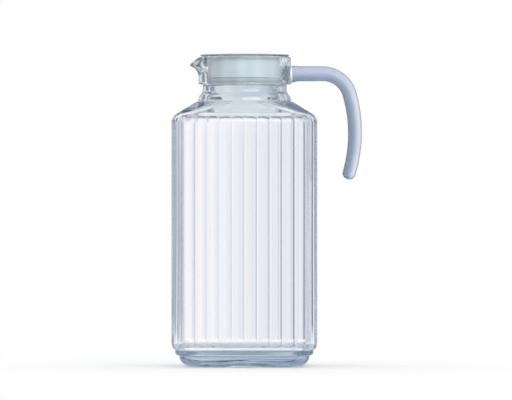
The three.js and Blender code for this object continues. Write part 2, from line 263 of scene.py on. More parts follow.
def ease(share):
    """0 up to the start and 1 from the end on, smooth between."""
    share = max(0, min(1, share))
    return share * share * (3 - 2 * share)


def flute_hollow(height):
    """Depth across a flute at this height: full along the wall, run out in an arch at each end."""
    above = height - BAND_TOP - FLUTE_FOOT
    below = WALL_TOP + FIT_GAP - height

    def hollow(across):
        foot = ease((above - FLUTE_FOOT_ARCH * across * across) / FLUTE_FOOT_FADE)
        head = ease((below - FLUTE_ARCH * across * across) / FLUTE_FADE)
        return FLUTE_DEPTH * foot * head * (1 - across ** FLUTE_SQUARENESS)

    return hollow


def foot_rings():
    """The underside, pushed up, and the heel."""
    bearing = FOOT_HALF - HEEL_RUN
    inner = bearing - BEARING_WIDTH
    rings = []
    for step in range(1, ARC_STEPS + 1):
        share = step / ARC_STEPS
        height = PUSH_UP * (1 - share * share) ** PUSH_UP_CURVE
        rings.append(square_ring(inner * share, FOOT_CORNER * share, height))
    for across, up in quarter_turn(2 * ARC_STEPS):
        rings.append(square_ring(bearing + HEEL_RUN * across, FOOT_CORNER, FOOT_HEIGHT * up))
    return rings


def wall_rings():
    """The band above the foot and the fluted wall, tucked in at its lower end."""
    ledge = FOOT_HALF + BAND_LEDGE
    rings = []
    for across, up in quarter_turn(ARC_STEPS):
        half = ledge + (BAND_HALF - ledge) * across
        rings.append(square_ring(half, BODY_CORNER, FOOT_HEIGHT + BAND_ROUND * up))
    for step in range(4 * ARC_STEPS + 1):
        rise = step / (4 * ARC_STEPS)
        tuck = math.sqrt(1 - (1 - rise) ** 2)
        height = BAND_TOP + WALL_TUCK * rise
        half = BAND_HALF + (BODY_HALF - BAND_HALF) * tuck
        rings.append(square_ring(half, BODY_CORNER, height, flute_hollow(height)))
    fade_foot = WALL_TOP - SHOULDER_ROUND_FALL - FLUTE_FADE
    rings.append(square_ring(BODY_HALF, BODY_CORNER, fade_foot, flute_hollow(fade_foot)))
    return rings


def shoulder_rings(half, corner, radius, foot, top, rise, fall, fluted):
    """The plan drawn in to a circle along a straight slope, with a rounded lower edge."""
    height = top - foot
    start_blend = 1 - rise / height
    rings = []
    for step in range(2 * ARC_STEPS + 1):
        share = step / (2 * ARC_STEPS)
        blend = 1 - (1 - start_blend) * share * share
        z = foot - fall * (1 - share) ** 2 + rise * share * share
        ring = blend_ring(half, corner, radius, blend, z)
        if fluted:
            sunk = square_ring(half, corner, z, flute_hollow(z))
            flat = square_ring(half, corner, z)
            ring = [point + low - high for point, low, high in zip(ring, sunk, flat)]
        rings.append(ring)
    for step in range(1, ARC_STEPS):
        blend = start_blend * (1 - step / ARC_STEPS)
        rings.append(blend_ring(half, corner, radius, blend, foot + height * (1 - blend)))
    return rings


def flare(foot_radius, foot, top_radius, top):
    """Points (radius, height) of an S-shaped flare, from its foot up."""
    middle = (foot + top) / 2
    return interpolate_bezier(
        Vector((foot_radius, foot)),
        Vector((foot_radius, middle)),
        Vector((top_radius, middle)),
        Vector((top_radius, top)),
        2 * ARC_STEPS,
    )


def neck_rings():
    """Neck, flared towards the shoulder, and the rounded foot of the collar."""
    flare_top = SHOULDER_TOP + FLARE_HEIGHT
    profile = [Vector((SHOULDER_RADIUS, SHOULDER_TOP))]
    profile += flare(FLARE_RADIUS, SHOULDER_TOP, NECK_RADIUS, flare_top)
    profile += rounded_profile([
        (NECK_RADIUS, flare_top, 0),
        (NECK_RADIUS, COLLAR_FOOT, NECK_FILLET),
        (COLLAR_RADIUS - COLLAR_FOOT_ROUND, COLLAR_FOOT, 0),
    ])[1:-1]
    rings = [round_ring(point.x, point.y) for point in profile]
    for across, up in quarter_turn(ARC_STEPS):
        radius = COLLAR_RADIUS - COLLAR_FOOT_ROUND * (1 - across)
        rings.append(round_ring(radius, COLLAR_FOOT + COLLAR_FOOT_ROUND * up))
    return rings


def rim_rings():
    """The collar up to its rounded rim and down its bore, with the lip drawn out of both."""
    draw_foot = RIM_TOP - SPOUT_DEPTH
    side_top = RIM_TOP - COLLAR_ROUND
    rise = side_top - draw_foot
    climb = [draw_foot + rise * step / (2 * ARC_STEPS) for step in range(2 * ARC_STEPS)]
    rings = [round_ring(COLLAR_RADIUS, z) for z in climb]
    for across, up in quarter_turn(ARC_STEPS):
        rings.append(round_ring(COLLAR_RADIUS - COLLAR_ROUND * up, side_top + COLLAR_ROUND * across))
    for across, up in quarter_turn(ARC_STEPS):
        rings.append(round_ring(COLLAR_BORE + BORE_ROUND * (1 - across), RIM_TOP - BORE_ROUND * up))
    rings += [round_ring(COLLAR_BORE, z) for z in reversed(climb)]
    return rings


def seat_rings():
    """The ledge inside the collar, rounded down into the bore of the neck."""
    rings = []
    for across, up in quarter_turn(ARC_STEPS):
        rings.append(round_ring(COLLAR_BORE - SEAT_ROUND * up, SEAT_TOP + SEAT_ROUND * (1 - across)))
    for across, up in quarter_turn(ARC_STEPS):
        rings.append(round_ring(NECK_BORE + SEAT_ROUND * (1 - across), SEAT_TOP - SEAT_ROUND * up))
    return rings


def inside_rings():
    """The inside of the throat and of the shoulder, from the top down."""
    slope = (SHOULDER_TOP - WALL_TOP) / (BODY_HALF - SHOULDER_RADIUS)
    inner_foot = WALL_TOP + WALL_THICKNESS * slope - SHOULDER_THICKNESS * math.hypot(1, slope)
    throat_radius = FLARE_RADIUS - NECK_WALL
    throat_foot = SHOULDER_TOP - THROAT_DROP
    throat = flare(throat_radius, throat_foot, NECK_BORE, throat_foot + FLARE_HEIGHT)
    rings = [round_ring(point.x, point.y) for point in reversed(throat)]
    inner = shoulder_rings(
        INNER_HALF, INNER_CORNER, throat_radius, inner_foot, throat_foot,
        INNER_ROUND_RISE, INNER_ROUND_FALL, False,
    )
    rings += reversed(inner)
    return rings


def base_rings():
    """The inside of the wall, rounded into the inside of the base."""
    rings = []
    for across, up in quarter_turn(2 * ARC_STEPS):
        half = INNER_HALF - BASE_ROUND * up
        corner = INNER_CORNER + (FOOT_CORNER - INNER_CORNER) * up
        rings.append(plan_ring(half, corner, BASE_THICKNESS + BASE_ROUND * (1 - across)))
    edge = plan_ring(INNER_HALF - BASE_ROUND, FOOT_CORNER, BASE_THICKNESS)
    for share in BASE_SHARES:
        rings.append([Vector((point.x * share, point.y * share, point.z)) for point in edge])
    return rings


def place_mesh(name, mesh):
    """Turns a finished mesh into an object in the scene."""
    data = bpy.data.meshes.new(name)
    mesh.to_mesh(data)
    mesh.free()
    piece = bpy.data.objects.new(name, data)
    bpy.context.scene.collection.objects.link(piece)
    return piece


def loft(name, rings, first_pole=None, last_pole=None, looped=False):
    """A mesh object over a stack of rings of equal counts, closed by poles or into a loop."""
    mesh = bmesh.new()
    rows = [[mesh.verts.new((point.x + AXIS_X, point.y, point.z)) for point in ring] for ring in rings]
    count = len(rings[0])
    pairs = list(zip(rows, rows[1:]))
    if looped:
        pairs.append((rows[-1], rows[0]))
    for low, high in pairs:
        for step in range(count):
            after = (step + 1) % count
            mesh.faces.new((low[step], low[after], high[after], high[step]))
    if first_pole:
        pole = mesh.verts.new((first_pole.x + AXIS_X, first_pole.y, first_pole.z))
        for step in range(count):
            mesh.faces.new((pole, rows[0][(step + 1) % count], rows[0][step]))
    if last_pole:
        pole = mesh.verts.new((last_pole.x + AXIS_X, last_pole.y, last_pole.z))
        for step in range(count):
            mesh.faces.new((pole, rows[-1][step], rows[-1][(step + 1) % count]))
    piece = place_mesh(name, mesh)
    piece.data.shade_smooth()
    return piece


def make_jug_glass():
    """One closed skin, from the middle of the underside, over the rim, to the middle of the base."""
    rings = foot_rings() + wall_rings()
    rings += shoulder_rings(
        BODY_HALF, BODY_CORNER, SHOULDER_RADIUS, WALL_TOP, SHOULDER_TOP,
        SHOULDER_ROUND_RISE, SHOULDER_ROUND_FALL, True,
    )
    rings += neck_rings() + rim_rings() + seat_rings() + inside_rings() + base_rings()
    return loft("jug_glass_body", rings, Vector((0, 0, PUSH_UP)), Vector((0, 0, BASE_THICKNESS)))


def handle_place(distance):
    """Point of the handle's middle line, in the plane of X and Z, and its direction."""
    start = COLLAR_RADIUS + FIT_GAP
    straight = ARM_END - start
    bend = BEND_RADIUS * (math.pi / 2 - GRIP_LEAN)
    if distance <= straight:
        return Vector((start + distance, ARM_HEIGHT)), Vector((1, 0))
    angle = math.pi / 2 - (distance - straight) / BEND_RADIUS
    centre = Vector((ARM_END, ARM_HEIGHT - BEND_RADIUS))
    radius = BEND_RADIUS
    if distance > straight + bend:
        angle = GRIP_LEAN - (distance - straight - bend) / GRIP_RADIUS
        centre -= (GRIP_RADIUS - BEND_RADIUS) * Vector((math.cos(GRIP_LEAN), math.sin(GRIP_LEAN)))
        radius = GRIP_RADIUS
    way = Vector((math.cos(angle), math.sin(angle)))
    return centre + radius * way, Vector((way.y, -way.x))


def handle_ring(place, way, thickness, width, lug):
    """An oval ring round the middle line; lug, from 0 to 1, swells it towards the collar."""
    ring = []
    for step in range(HANDLE_SIDES):
        angle = step / HANDLE_SIDES * 2 * math.pi
        swell = LUG_RISE if math.sin(angle) > 0 else LUG_FALL
        rise = (thickness / 2 + swell * lug) * math.sin(angle)
        y = (width / 2 + LUG_SPREAD * lug) * math.cos(angle)
        ring.append(Vector((place.x - way.y * rise, y, place.y + way.x * rise)))
    return ring


def seat_on_collar(ring):
    """Bends a ring at the root to the round of the collar."""
    radius = COLLAR_RADIUS + FIT_GAP
    return [Vector((math.sqrt(radius * radius - point.y * point.y), point.y, point.z)) for point in ring]


def root_rings():
    """The end that sits on the collar, and the lug that runs out along the arm."""
    start, ahead = handle_place(0)
    rings = []
    for step in range(1, ARC_STEPS + 1):
        share = step / ARC_STEPS
        ring = handle_ring(start, ahead, ARM_THICKNESS * share, ARM_WIDTH * share, share)
        rings.append(seat_on_collar(ring))
    for step in range(1, 2 * ARC_STEPS):
        share = step / (2 * ARC_STEPS)
        place = start + Vector((LUG_LENGTH * share, 0))
        rings.append(handle_ring(place, ahead, ARM_THICKNESS, ARM_WIDTH, (1 - share) ** 2))
    return rings


def hook_rings(length):
    """The arm, the bend and the grip, which tapers towards its free end."""
    rings = []
    for step in range(HANDLE_STEPS + 1):
        distance = LUG_LENGTH + (length - LUG_LENGTH) * step / HANDLE_STEPS
        thickness = ARM_THICKNESS + (TIP_THICKNESS - ARM_THICKNESS) * distance / length
        place, way = handle_place(distance)
        rings.append(handle_ring(place, way, thickness, ARM_WIDTH, 0))
    return rings


def tip_rings(tip, way):
    """The round free end."""
    rings = []
    for across, up in quarter_turn(2 * ARC_STEPS)[1:-1]:
        place = tip + way * TIP_THICKNESS / 2 * across
        rings.append(handle_ring(place, way, TIP_THICKNESS * (1 - up), ARM_WIDTH * (1 - up), 0))
    return rings


def make_handle():
    """The hook, which also stores how far each point is towards the outer side of the bend."""
    curved = BEND_RADIUS * (math.pi / 2 - GRIP_LEAN) + GRIP_RADIUS * GRIP_SWEEP
    length = ARM_END - COLLAR_RADIUS - FIT_GAP + curved
    root = handle_place(0)[0]
    tip, way = handle_place(length)
    end = tip + way * TIP_THICKNESS / 2
    rings = root_rings() + hook_rings(length) + tip_rings(tip, way)
    handle = loft("hook_handle", rings, Vector((root.x, 0, root.y)), Vector((end.x, 0, end.y)))
    outward = [(1 + math.sin(step / HANDLE_SIDES * 2 * math.pi)) / 2 for step in range(HANDLE_SIDES)]
    poles = [0.5, 0.5]
    store = handle.data.attributes.new(OUTER_SIDE, "FLOAT", "POINT")
    store.data.foreach_set("value", outward * len(rings) + poles)
    return handle


def turned_ring(radius, z):
    """A round ring of a turned piece."""
    ring = []
    for step in range(TURNED_STEPS):
        angle = step / TURNED_STEPS * 2 * math.pi
        ring.append(Vector((radius * math.cos(angle), radius * math.sin(angle), z)))
    return ring


def rounded_profile(corners):
    """Points of a profile whose corners, each (radius, height, fillet), are rounded."""
    points = [Vector(corners[0][:2])]
    for before, corner, after in zip(corners, corners[1:], corners[2:]):
        here = Vector(corner[:2])
        fillet = corner[2]
        if fillet == 0:
            points.append(here)
            continue
        back = (Vector(before[:2]) - here).normalized() * fillet
        on = (Vector(after[:2]) - here).normalized() * fillet
        for step in range(ARC_STEPS + 1):
            share = step / ARC_STEPS
            points.append(here + back * (1 - share) ** 2 + on * share * share)
    points.append(Vector(corners[-1][:2]))
    return points


def lid_corners():
    """The lid's section from the middle of its underside round to the middle of the dish."""
    top = lid_high.z
    flange_foot = top - FLANGE_THICKNESS
    plug_end = lid_low.z
    groove_foot = plug_end + PLUG_LIP_HEIGHT
    groove_top = groove_foot + (ring_high.z - ring_low.z) + 2 * FIT_GAP
    groove = COLLAR_BORE - 2 * FIT_GAP - RING_THICKNESS
    plug_inner = PLUG_RADIUS - PLUG_TAPER - PLUG_WALL
    lip = PLUG_RADIUS - PLUG_LIP_INSET
    small = SMALL_ROUND
    return [
        (0, top - DISH_DEPTH - DISH_FLOOR, 0),
        (DISH_RADIUS + PLUG_WALL, top - DISH_DEPTH - DISH_FLOOR, DISH_FILLET),
        (DISH_RADIUS + PLUG_WALL, flange_foot, DISH_FILLET),
        (plug_inner, flange_foot, DISH_FILLET),
        (plug_inner, groove_top + PLUG_WALL, small),
        (groove - PLUG_WALL, groove_top, small),
        (groove - PLUG_WALL, plug_end, small),
        (lip - PLUG_LIP_HEIGHT / 2, plug_end, small),
        (lip, groove_foot, small),
        (groove, groove_foot, 0),
        (groove, groove_top, 0),
        (PLUG_RADIUS - PLUG_TAPER, groove_top, small),
        (PLUG_RADIUS, flange_foot, small),
        (FLANGE_RADIUS - FLANGE_EDGE, flange_foot, small),
        (FLANGE_RADIUS, flange_foot + FLANGE_THICKNESS / 2, small),
        (FLANGE_RADIUS - FLANGE_EDGE, top, small),
        (DISH_RADIUS, top, 2 * small),
        (DISH_RADIUS, top - DISH_DEPTH, DISH_FILLET),
        (0, top - DISH_DEPTH, 0),
    ]


def block(name, size, place, rounding):
    """A rounded block, used to cut or to join."""
    mesh = bmesh.new()
    bmesh.ops.create_cube(mesh, size=1)
    bmesh.ops.scale(mesh, vec=size, verts=mesh.verts)
    bmesh.ops.bevel(
        mesh, geom=mesh.edges[:], offset=rounding, segments=BLOCK_STEPS, profile=0.5, affect="EDGES",
    )
    bmesh.ops.translate(mesh, vec=place, verts=mesh.verts)
    return place_mesh(name, mesh)


def combine(piece, tool, operation):
    """Joins a tool to a piece or cuts it away, and deletes the tool."""
    step = piece.modifiers.new("combine", "BOOLEAN")
    step.operation = operation
    step.solver = "EXACT"
    step.object = tool
    bpy.context.view_layer.update()
    shaped = piece.evaluated_get(bpy.context.evaluated_depsgraph_get())
    data = bpy.data.meshes.new_from_object(shaped)
    piece.modifiers.clear()
    piece.data = data
    bpy.data.objects.remove(tool)


def sharpen(piece, limit):
    """Smooth shading, broken at edges that turn by more than the limit."""
    mesh = bmesh.new()
    mesh.from_mesh(piece.data)
    for face in mesh.faces:
        face.smooth = True
    for edge in mesh.edges:
        edge.smooth = edge.is_manifold and edge.calc_face_angle(0) < limit
    mesh.to_mesh(piece.data)
    mesh.free()


def make_lid():
    """The turned lid, with its grip bar joined on and its window and slits cut through the plug."""
    profile = rounded_profile(lid_corners())
    rings = [turned_ring(point.x, point.y) for point in profile[1:-1]]
    first = Vector((0, 0, profile[0].y))
    last = Vector((0, 0, profile[-1].y))
    lid = loft("plug_lid", rings, first, last)
    top = lid_high.z
    bar_height = DISH_DEPTH + DISH_FLOOR / 2
    bar_size = (GRIP_BAR, 2 * DISH_RADIUS + PLUG_WALL, bar_height)
    bar = block("bar", bar_size, (AXIS_X, 0, top - bar_height / 2), BAR_ROUND)
    combine(lid, bar, "UNION")
    # The cuts start in the hollow between dish and plug wall and reach out past the plug
    reach = PLUG_RADIUS - DISH_RADIUS
    out = (PLUG_RADIUS + DISH_RADIUS + PLUG_WALL) / 2 + reach / 4
    height = top - FLANGE_THICKNESS - WINDOW_DROP - WINDOW_HEIGHT / 2
    window_size = (reach, WINDOW_WIDTH, WINDOW_HEIGHT)
    window = block("window", window_size, (AXIS_X - out, 0, height), WINDOW_ROUND)
    combine(lid, window, "DIFFERENCE")
    for slit in range(SLITS):
        y = (slit - (SLITS - 1) / 2) * SLIT_PITCH
        slit_size = (reach, SLIT_WIDTH, WINDOW_HEIGHT)
        cut = block("slit", slit_size, (AXIS_X + out, y, height), SLIT_ROUND)
        combine(lid, cut, "DIFFERENCE")
    sharpen(lid, SHARP_TURN)
    return lid


def make_seal():
    """The ring, bulged towards the collar and flat in its groove."""
    outer = COLLAR_BORE - FIT_GAP
    inner = outer - RING_THICKNESS
    low = ring_low.z - SEAL_SQUEEZE
    high = ring_high.z + SEAL_SQUEEZE
    bulge = RING_THICKNESS / 2
    small = SMALL_ROUND
    rings = []
    for step in range(2 * ARC_STEPS + 1):
        angle = (step / (2 * ARC_STEPS) - 0.5) * math.pi
        z = (low + high) / 2 + (high - low) / 2 * math.sin(angle)
        rings.append(turned_ring(outer - bulge + bulge * math.cos(angle), z))
    for across, up in quarter_turn(ARC_STEPS):
        rings.append(turned_ring(inner + small * (1 - across), high - small * up))
    for across, up in quarter_turn(ARC_STEPS):
        rings.append(turned_ring(inner + small * up, low + small * (1 - across)))
    return loft("soft_seal", rings, looped=True)


class Wire:
    """A value in a node tree. Arithmetic on it adds Math nodes."""

    def __init__(self, tree, socket):
        self.tree = tree
        self.socket = socket

    def __add__(self, other):
        return self.tree.maths("ADD", self, other)

    def __radd__(self, other):
        return self.tree.maths("ADD", other, self)

    def __sub__(self, other):
        return self.tree.maths("SUBTRACT", self, other)

    def __rsub__(self, other):
        return self.tree.maths("SUBTRACT", other, self)

    def __mul__(self, other):
        return self.tree.maths("MULTIPLY", self, other)

    def __rmul__(self, other):
        return self.tree.maths("MULTIPLY", other, self)

    def __lt__(self, other):
        return self.tree.maths("LESS_THAN", self, other)


class Tree:
    """A node tree that is written node by node."""

    def __init__(self, owner):
        owner.use_nodes = True
        self.nodes = owner.node_tree.nodes
        self.links = owner.node_tree.links
        self.nodes.clear()

    def node(self, kind, settings=None, sockets=None, output=0):
        """Adds a node, with its settings first and then the values or links of its sockets."""
        node = self.nodes.new(kind)
        for name, value in (settings or {}).items():
            if name == "stops":
                self.set_stops(node.color_ramp, value)
            else:
                setattr(node, name, value)
        for name, value in (sockets or {}).items():
            if isinstance(value, Wire):
                self.links.new(value.socket, node.inputs[name])
            else:
                node.inputs[name].default_value = value
        return Wire(self, node.outputs[output]) if node.outputs else None

    @staticmethod
    def set_stops(ramp, stops):
        """Gives a colour ramp its stops, each (place, colour)."""
        while len(ramp.elements) < len(stops):
            ramp.elements.new(1)
        for element, (place, colour) in zip(ramp.elements, stops):
            element.position = place
            element.color = colour

    def maths(self, operation, first, second=0.0):
        """A Math node on one or two values."""
        return self.node("ShaderNodeMath", {"operation": operation}, {0: first, 1: second})

    def ray(self, kind):
        """What is known of the ray that meets the surface."""
        return self.node("ShaderNodeLightPath", output=kind)

    def noise(self, scale, detail=2.0, stretch=(1, 1, 1)):
        """Noise in the object's own coordinates, in waves per metre."""
        place = self.node("ShaderNodeTexCoord", output="Object")
        place = self.node("ShaderNodeMapping", sockets={"Vector": place, "Scale": stretch})
        sockets = {"Vector": place, "Scale": scale, "Detail": detail}
        return self.node("ShaderNodeTexNoise", sockets=sockets)

    def along(self, axis):
        """How far along X, Y or Z (0, 1 or 2) a point is in the object's own coordinates."""
        here = self.node("ShaderNodeTexCoord", output="Object")
        return self.node("ShaderNodeSeparateXYZ", sockets={0: here}, output=axis)

    def seen_in_glass(self):
        """1 for a ray that has only met glass and gloss since the camera, 0 for all other rays."""
        clear = self.maths("MAXIMUM", self.ray("Is Glossy Ray"), self.ray("Is Transmission Ray"))
        return clear * (self.ray("Diffuse Depth") < 1)

    def distance(self, place):
        """Distance from a place in the object's own coordinates."""
        here = self.node("ShaderNodeTexCoord", output="Object")
        sockets = {0: here, 1: place}
        return self.node("ShaderNodeVectorMath", {"operation": "DISTANCE"}, sockets, output="Value")

    def fade(self, value, start, end):
        """0 at the start, 1 at the end, eased between."""
        sockets = {"Value": value, "From Min": start, "From Max": end}
        return self.node("ShaderNodeMapRange", {"interpolation_type": "SMOOTHSTEP"}, sockets)

    def mix(self, share, first, second):
        """A colour between the first, at share 0, and the second."""
        sockets = {0: share, 6: first, 7: second}
        return self.node("ShaderNodeMix", {"data_type": "RGBA"}, sockets, output=2)

    def ramp(self, value, stops):
        """A colour that follows a value from stop to stop."""
        return self.node("ShaderNodeValToRGB", {"stops": stops}, {"Fac": value})

    def blend(self, share, first, second):
        """A shader between the first, at share 0, and the second."""
        return self.node("ShaderNodeMixShader", sockets={0: share, 1: first, 2: second})

    def bump(self, height, strength, distance):
        """A normal that follows small heights of the surface."""
        sockets = {"Height": height, "Strength": strength, "Distance": distance}
        return self.node("ShaderNodeBump", sockets=sockets)

    def finish(self, surface, volume=None):
        """Ends a material with its surface and, for glass, its depth."""
        sockets = {"Surface": surface}
        if volume:
            sockets["Volume"] = volume
        self.node("ShaderNodeOutputMaterial", sockets=sockets)


WHITE = (1, 1, 1, 1)

# Clear glass: waves, crinkles and haze per metre, its relief, its cast, and painted shade at the neck
GLASS_BEND = 1.5
GLASS_RELIEF = 0.8 * MM
WAVES = 28
WAVE_STRETCH = (1, 4, 0.14)
WAVE_HEIGHT = 0.7
CRINKLES = 420
CRINKLE_HEIGHT = 0.45
CRINKLE_REACH = 34 * MM
HAZE = 35
HAZE_ROUGHNESS = 0.03
GLASS_CAST = (0.37, 0.53, 0.66, 1)
GLASS_CAST_DENSITY = 11.0
GLASS_SHADOW = (0.94, 0.96, 0.98, 1)
NECK_PAINTED_SHADE = (0.86, 0.9, 0.915, 1)
NECK_TINT_FADE = 1.5 * MM


def clear_glass():
    """Pressed clear glass: faint waves, a crinkle by the handle, painted shade on the neck and a cast in
    its depth.
    """
    material = bpy.data.materials.new("clear_glass")
    tree = Tree(material)
    height = tree.along(2)
    level = tree.fade(height, WALL_TOP, WALL_TOP - SHOULDER_ROUND_FALL)
    waves = WAVE_HEIGHT * tree.noise(WAVES, detail=1.0, stretch=WAVE_STRETCH) * level
    away = tree.distance((AXIS_X + COLLAR_RADIUS, 0, COLLAR_FOOT))
    near = tree.fade(away, CRINKLE_REACH, CRINKLE_REACH / 2)
    crinkle = CRINKLE_HEIGHT * tree.noise(CRINKLES, detail=1.0) * near
    # Painted shade: the neck's glass is tinted darker, standing in for the dim surroundings seen through
    # it
    neck = tree.fade(height, SHOULDER_TOP, SHOULDER_TOP + NECK_TINT_FADE)
    neck = neck * tree.fade(height, COLLAR_FOOT, COLLAR_FOOT - NECK_TINT_FADE)
    glass = tree.node("ShaderNodeBsdfPrincipled", sockets={
        "Base Color": tree.mix(neck, WHITE, NECK_PAINTED_SHADE),
        "Roughness": HAZE_ROUGHNESS * tree.noise(HAZE, detail=3.0),
        "IOR": GLASS_BEND,
        "Transmission Weight": 1.0,
        "Normal": tree.bump(waves + crinkle, 1.0, GLASS_RELIEF),
    })
    passing = tree.node("ShaderNodeBsdfTransparent", sockets={"Color": GLASS_SHADOW})
    cast = tree.node("ShaderNodeVolumeAbsorption", sockets={
        "Color": GLASS_CAST,
        "Density": GLASS_CAST_DENSITY,
    })
    tree.finish(tree.blend(tree.ray("Is Shadow Ray"), glass, passing), cast)
    return material


# Satin glass: painted light and shade from the hook's inner side to its outer side, painted dark edges,
# and a seam of painted light at the collar
ARM_PAINTED_SHADING = [
    (0.1, (0.5, 0.61, 0.77, 1)),
    (0.5, (0.55, 0.62, 0.78, 1)),
    (0.8, (0.72, 0.75, 0.9, 1)),
]
GRIP_PAINTED_SHADING = [
    (0.1, (0.35, 0.45, 0.6, 1)),
    (0.5, (0.49, 0.58, 0.71, 1)),
    (0.7, (0.75, 0.8, 0.9, 1)),
    (0.84, (1.0, 1.0, 1.0, 1)),
]
SATIN_EDGE_PAINTED_SHADE = (0.3, 0.36, 0.45, 1)
SATIN_EDGE_FROM = 0.4
SATIN_EDGE_FULL = 0.75
SATIN_GRAIN = 900
SATIN_RELIEF = 0.3 * MM
STREAKS = 420
STREAK_STRETCH = (1, 1, 0.12)
STREAK_SHARE = 0.15
SEAM_PAINTED_LIGHT = (0.95, 0.98, 1.0, 1)
SEAM_FULL = LUG_LENGTH * 0.1
SEAM_END = LUG_LENGTH * 0.2


def satin_glass():
    """Satin glass with painted light outside the bend, painted shade inside it and at its edges, and a
    pale seam of painted light at the collar.
    """
    material = bpy.data.materials.new("satin_glass")
    tree = Tree(material)
    grain = tree.noise(SATIN_GRAIN)
    streaks = tree.noise(STREAKS, stretch=STREAK_STRETCH)
    outer = tree.node("ShaderNodeAttribute", {"attribute_name": OUTER_SIDE}, output="Fac")
    across = outer + STREAK_SHARE * (streaks - 0.5)
    lower = tree.fade(tree.along(2), ARM_HEIGHT, ARM_HEIGHT - BEND_RADIUS)
    satin = tree.node("ShaderNodeBsdfPrincipled", sockets={
        # Painted light and shade: paler on the outer side of the bend, darker on its inner side, with a
        # painted highlight along the grip
        "Base Color": tree.mix(lower, tree.ramp(across, ARM_PAINTED_SHADING), tree.ramp(across, GRIP_PAINTED_SHADING)),
        "Roughness": 0.3 + 0.12 * grain,
        "IOR": GLASS_BEND,
        "Transmission Weight": 0.45,
        "Subsurface Weight": 0.3,
        "Subsurface Radius": (0.6, 0.8, 1.0),
        "Subsurface Scale": 4 * MM,
        "Normal": tree.bump(grain, 0.05, SATIN_RELIEF),
    })
    # Painted shade: an opaque dark skin where the hook is seen edge-on, standing in for the dark rim that
    # refraction gives
    edge = tree.node("ShaderNodeBsdfPrincipled", sockets={
        "Base Color": SATIN_EDGE_PAINTED_SHADE,
        "Roughness": 0.4 + 0.1 * grain,
        "Specular IOR Level": 0.2,
    })
    # Painted light: a pale, almost opaque seam where the hook meets the collar, standing in for light
    # through the fused glass
    seam = tree.node("ShaderNodeBsdfPrincipled", sockets={
        "Base Color": SEAM_PAINTED_LIGHT,
        "Roughness": 0.4 + 0.1 * grain,
        "IOR": GLASS_BEND,
        "Transmission Weight": 0.05,
    })
    facing = tree.node("ShaderNodeLayerWeight", sockets={"Blend": 0.5}, output="Facing")
    edged = tree.blend(tree.fade(facing, SATIN_EDGE_FROM, SATIN_EDGE_FULL), satin, edge)
    root = tree.fade(tree.along(0) - (AXIS_X + COLLAR_RADIUS), SEAM_END, SEAM_FULL)
    tree.finish(tree.blend(root, edged, seam))
    return material


# Milky plastic: faint clouds and a fine grain per metre, and painted shade at the flange's edge and under
# it
LID_TINTS = [
    (0.3, (0.75, 0.83, 0.88, 1)),
    (0.7, (0.78, 0.86, 0.9, 1)),
]
LID_CLOUDS = 40
LID_GRAIN = 1400
LID_RELIEF = 0.2 * MM
FLANGE_PAINTED_SHADE = (0.36, 0.43, 0.43, 1)
FLANGE_SHADE_FROM = PLUG_RADIUS - 1 * MM
FLANGE_SHADE_FULL = PLUG_RADIUS - 0.5 * MM
FLANGE_SHADE_FOOT = RIM_TOP - 2.8 * MM
FLANGE_SHADE_RISE = 1.6 * MM
FLANGE_SHADE_DROP = 0.1 * MM


def milky_plastic():
    """Milky plastic with a satin grain, and painted shade at the flange's edge and under it."""
    material = bpy.data.materials.new("milky_plastic")
    tree = Tree(material)
    grain = tree.noise(LID_GRAIN)
    tint = tree.ramp(tree.noise(LID_CLOUDS, detail=3.0), LID_TINTS)
    height = tree.along(2)
    # Painted shade: darker at the flange's edge and on the plug just under it
    away = tree.distance((AXIS_X, 0, RIM_TOP))
    shade = tree.fade(away, FLANGE_SHADE_FROM, FLANGE_SHADE_FULL)
    shade = shade * tree.fade(height, FLANGE_SHADE_FOOT, FLANGE_SHADE_FOOT + FLANGE_SHADE_RISE)
    shade = shade * tree.fade(height, lid_high.z - FLANGE_SHADE_DROP, lid_high.z - FLANGE_THICKNESS / 2)
    tree.finish(tree.node("ShaderNodeBsdfPrincipled", sockets={
        "Base Color": tree.mix(shade, tint, FLANGE_PAINTED_SHADE),
        "Roughness": 0.55 + 0.15 * grain,
        "IOR": 1.5,
        "Specular IOR Level": 0.25,
        "Transmission Weight": 0.15,
        "Subsurface Weight": 0.4,
        "Subsurface Radius": (0.8, 1.0, 1.0),
        "Subsurface Scale": 3 * MM,
        "Normal": tree.bump(grain, 0.06, LID_RELIEF),
    }))
    return material


# Soft silicone: a bloom per metre, which also breaks up its gloss
SEAL_TINTS = [
    (0.3, (0.43, 0.49, 0.52, 1)),
    (0.7, (0.47, 0.53, 0.56, 1)),
]
SEAL_BLOOM = 160
SEAL_RELIEF = 0.2 * MM


def soft_silicone():
    """Soft grey silicone with a faint bloom."""
    material = bpy.data.materials.new("soft_silicone")
    tree = Tree(material)
    bloom = tree.noise(SEAL_BLOOM, detail=3.0)
    tree.finish(tree.node("ShaderNodeBsdfPrincipled", sockets={
        "Base Color": tree.ramp(bloom, SEAL_TINTS),
        "Roughness": 0.45 + 0.2 * bloom,
        "Subsurface Weight": 0.3,
        "Subsurface Radius": (0.8, 1.0, 1.0),
        "Subsurface Scale": 2 * MM,
        "Normal": tree.bump(bloom, 0.05, SEAL_RELIEF),
    }))
    return material


# Floor: round and pale, clear towards its edge, with painted shade near the jug and a painted shadow under
# it, seen only through glass
FLOOR_RADIUS = 0.5
FLOOR_PLAIN = 0.2
FLOOR_STEPS = 96
FLOOR_WHITE = (0.99, 0.99, 0.99, 1)
FLOOR_TOOTH = 300
FLOOR_PAINTED_SHADE_IN_GLASS = (0.56, 0.63, 0.71, 1)
FLOOR_PAINTED_SHADOW_UNDER_JUG = (0.33, 0.4, 0.48, 1)
FLOOR_SHADE_FULL = 110 * MM
FLOOR_SHADE_END = 170 * MM


